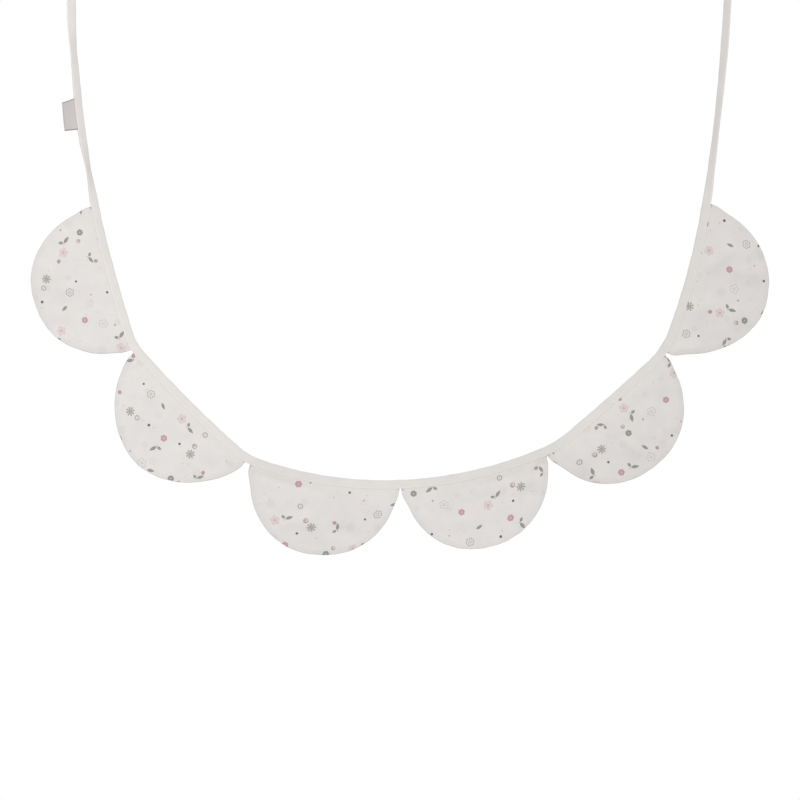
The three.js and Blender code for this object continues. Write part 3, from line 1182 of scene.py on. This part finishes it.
class Finish(Tree):
    """A material under construction, around its own shader."""

    def __init__(self, name, roughness):
        self.material = bpy.data.materials.new(name)
        self.material.use_nodes = True
        super().__init__(self.material.node_tree)
        self.shader = self.tree.nodes["Principled BSDF"]
        self.set("Roughness", roughness)
        self.set("Specular IOR Level", 0.25)
        self.set("Sheen Weight", 0.12)
        self.set("Sheen Roughness", 0.5)

    def set(self, name, value):
        self.fill(self.shader.inputs[name], value)

    def mix(self, factor, a, b):
        """One colour blended into another."""
        return self.node("ShaderNodeMix", {"data_type": "RGBA"}, {0: factor, 6: a, 7: b}, output=2)

    def noise(self, vector, scale, detail=2.0):
        return self.node(
            "ShaderNodeTexNoise",
            {"noise_dimensions": "3D"},
            {"Vector": vector, "Scale": scale, "Detail": detail},
        )

    def chart(self):
        """The cloth's flat place in millimetres, along its two threads."""
        place = self.node("ShaderNodeUVMap", {"uv_map": "cloth"})
        scaled = self.node("ShaderNodeVectorMath", {"operation": "SCALE"}, {0: place, "Scale": 1 / MM})
        parts = self.node("ShaderNodeSeparateXYZ", None, {0: scaled})
        return parts.output(0), parts.output(1)

    def place(self, u, v):
        return self.node("ShaderNodeCombineXYZ", None, {0: u, 1: v})

    def bump(self, height, distance, strength=1.0):
        """Feeds a height of 0 to 1 over a distance in millimetres to the shader's normal."""
        made = self.node(
            "ShaderNodeBump", None, {"Strength": strength, "Distance": distance * MM, "Height": height}
        )
        self.set("Normal", made)


def plain_weave(u, v, pitch):
    """The height of a plain weave, 0 in the holes to 1 on the threads, with its threads a pitch apart."""
    warp = (u * (math.pi / pitch)).sine()
    weft = (v * (math.pi / pitch)).sine()
    over = warp * weft
    return warp * warp * (0.5 + 0.5 * over) + weft * weft * (0.5 - 0.5 * over)


def slubs(finish, u, v):
    """Thicker and thinner threads, long along each thread and narrow across it."""
    warp = finish.noise(finish.place(u * 2.4, v * 0.045), 1.0)
    weft = finish.noise(finish.place(u * 0.05 + 40.0, v * 2.1), 1.0)
    return warp * 0.5 + weft * 0.5


CLOTH_LIGHT = (0.735, 0.709, 0.688, 1)
CLOTH_DARK = (0.655, 0.632, 0.613, 1)
# Painted shade: the colour that darkens the flags along their rims and seam allowances.
CLOTH_PAINTED_SHADE = (0.60, 0.578, 0.56, 1)
TAPE_LIGHT = (0.74, 0.713, 0.687, 1)
TAPE_DARK = (0.66, 0.636, 0.613, 1)
# Painted shade: the colour that darkens the tape towards its fold.
TAPE_PAINTED_SHADE = (0.58, 0.56, 0.54, 1)
# Painted highlight: the lighter colour of the tape along its open edge.
TAPE_PAINTED_HIGHLIGHT = (0.82, 0.79, 0.76, 1)
THREAD_COLOUR = (0.73, 0.702, 0.668, 1)
LABEL_LIGHT = (0.60, 0.56, 0.562, 1)
LABEL_DARK = (0.50, 0.465, 0.467, 1)
LABEL_STRIPE = (0.33, 0.31, 0.308, 1)

# The cotton's threads, the ribbon's ribs and threads, and how far in from the woven edges and from the
# fold the ribbon's darker bands begin and are full.
WEAVE_PITCH = 0.42
RIB_PITCH = 0.5
RIBBON_PITCH = 0.36
BORDER_BEGINS = 2.1
BORDER_FULL = 1.5
FOLD_DARK_BEGINS = 1.8
FOLD_DARK_FULL = 0.9


def cloth_ground(finish, u, v, light, dark, painted_shade):
    """The bare cloth's colour and height: weave, slubs and a soft unevenness, with painted shade mixed in
    along rounded edges and folds.
    """
    weave = plain_weave(u, v, WEAVE_PITCH)
    slub = slubs(finish, u, v)
    cloud = finish.noise(finish.place(u, v), 0.055, 3.0)
    tone = (slub - 0.5) * 1.1 + (cloud - 0.5) * 0.9 + weave * 0.25 + 0.35
    base = finish.mix(tone, dark, light)
    # Painted shade: this share mixes the painted shade colour into the cloth.
    edge = finish.node("ShaderNodeAttribute", {"attribute_name": "painted_shade"}, None, output=2)
    return finish.mix(edge * 0.5, base, painted_shade), weave, slub


def print_cloth():
    finish = Finish("print_cloth", 0.86)
    u, v = finish.chart()
    ground, weave, slub = cloth_ground(finish, u, v, CLOTH_LIGHT, CLOTH_DARK, CLOTH_PAINTED_SHADE)
    ink = finish.node("ShaderNodeAttribute", {"attribute_name": "print"})
    grain = finish.noise(finish.place(u, v), 1.6, 3.0)
    cover = ink.output(3) * (0.88 + 0.12 * weave) * (0.82 + 0.3 * grain)
    finish.set("Base Color", finish.mix(cover, ground, ink))
    creased = finish.noise(finish.place(u, v), 0.16, 3.0)
    finish.bump(weave * 0.35 + slub * 0.5 + creased * 1.6, 0.05)
    return finish.material


def tape_cloth():
    finish = Finish("tape_cloth", 0.88)
    u, v = finish.chart()
    ground, weave, slub = cloth_ground(finish, u, v, TAPE_LIGHT, TAPE_DARK, TAPE_PAINTED_SHADE)
    # Painted highlight: lighter along the tape's open edge.
    lip = finish.node("ShaderNodeAttribute", {"attribute_name": "lip"}, None, output=2)
    finish.set("Base Color", finish.mix(lip * 0.5, ground, TAPE_PAINTED_HIGHLIGHT))
    creased = finish.noise(finish.place(u * 0.22, v * 0.1), 1.0, 3.0)
    finish.bump(weave * 0.35 + slub * 0.5 + creased * 1.4, 0.06)
    return finish.material


def sewing_thread():
    finish = Finish("sewing_thread", 0.7)
    place = finish.node("ShaderNodeTexCoord", None, None, output=3)
    twist = finish.noise(place, 2600.0, 1.0)
    finish.set("Base Color", finish.mix(twist, TAPE_DARK, THREAD_COLOUR))
    finish.bump(twist, 0.05, 0.6)
    return finish.material


def label_weave():
    """A satin ribbon: fine ribs, a darker border along its two woven edges, and darker towards its fold."""
    finish = Finish("label_weave", 0.55)
    u, v = finish.chart()
    rib = (v * (math.tau / RIB_PITCH)).sine() * 0.5 + 0.5
    thread = (u * (math.tau / RIBBON_PITCH)).sine() * 0.5 + 0.5
    streak = finish.noise(finish.place(u * 0.12, v * 2.6), 1.0)
    base = finish.mix(rib * 0.3 + thread * 0.15 + streak * 0.5, LABEL_DARK, LABEL_LIGHT)
    edge = v.math("ABSOLUTE", v)
    stripe = edge.above(LABEL_HEIGHT / 2 - BORDER_BEGINS, LABEL_HEIGHT / 2 - BORDER_FULL)
    # Darker towards the label's fold.
    fold = u.above(LABEL_WIDTH - FOLD_DARK_BEGINS, LABEL_WIDTH - FOLD_DARK_FULL)
    folded = finish.mix(fold * 0.35, base, LABEL_STRIPE)
    finish.set("Base Color", finish.mix(stripe * 0.85, folded, LABEL_STRIPE))
    finish.bump(rib * 0.6 + thread * 0.4 + stripe * 0.6, 0.05)
    return finish.material


# The studio: a camera straight before the bunting, white behind it, and soft light.

VIEW_WIDTH = 1040.0
VIEW_CENTRE = (426.4, -580.45)
LENS = 85.0
SENSOR = 36.0

# How bright the surroundings are straight behind the bunting and elsewhere, how much brighter they
# grow one way, and that way: mostly upward, and about half as much to the right and to the viewer.
BEHIND = 1.0
ELSEWHERE = 0.725
SLANT = 0.42
SLANT_WAY = (0.42, -0.45, 0.79)

# The key light's watts, and its place and size in metres.
KEY_POWER = 10.0
KEY_PLACE = (-0.3, -1.65, -0.3)
KEY_SIZE = 0.9


def set_camera():
    data = bpy.data.cameras.new("camera")
    data.lens = LENS
    data.sensor_width = SENSOR
    camera = place_object("camera", data)
    away = VIEW_WIDTH * MM * LENS / SENSOR
    camera.location = (VIEW_CENTRE[0] * MM, -away, VIEW_CENTRE[1] * MM)
    camera.rotation_euler = (math.radians(90), 0, 0)
    bpy.context.scene.camera = camera


def set_surroundings():
    """White behind the bunting, and a soft slope of brightness all round it."""
    world = bpy.data.worlds.new("studio")
    world.use_nodes = True
    bpy.context.scene.world = world
    tree = Tree(world.node_tree)
    way = tree.node("ShaderNodeTexCoord")
    parts = tree.node("ShaderNodeSeparateXYZ", None, {0: way})
    x, y, z = (parts.output(k) for k in range(3))
    slope = 1.0 + SLANT * (SLANT_WAY[0] * x + SLANT_WAY[1] * y + SLANT_WAY[2] * z)
    behind = y.above(0.45, 0.85)
    strength = ELSEWHERE * slope * (1.0 - behind) + BEHIND * behind
    background = world.node_tree.nodes["Background"]
    tree.fill(background.inputs["Color"], (1.0, 1.0, 1.0, 1.0))
    tree.fill(background.inputs["Strength"], strength)


def set_key():
    data = bpy.data.lights.new("key", "AREA")
    data.energy = KEY_POWER
    data.size = KEY_SIZE
    key = place_object("key", data)
    key.location = KEY_PLACE
    aim = Vector((VIEW_CENTRE[0] * MM, 0, VIEW_CENTRE[1] * MM)) - key.location
    key.rotation_euler = aim.to_track_quat("-Z", "Y").to_euler()


# Putting it together.

set_camera()
set_surroundings()
set_key()
bpy.context.scene.view_settings.view_transform = "Standard"

cotton = tape_cloth()
printed_cotton = print_cloth()

tape = heading_tape()
tape.data.materials.append(cotton)
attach(tape, BODY)
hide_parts("heading_tape")

stitches = tape_stitches(sewing_thread())
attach(stitches, BODY)

for number, flag in enumerate(FLAGS, 1):
    cloth, span = flag_cloth(number, flag)
    cloth.data.materials.append(printed_cotton)
    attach(cloth, BODY)
    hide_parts(f"flag_{number}")
    outline, _ = flag_outline(flag, span.half)
    width, length = (outline.max(0) - outline.min(0)) * MM

label = side_label()
label.data.materials.append(label_weave())
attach(label, BODY)
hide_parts("side_label")
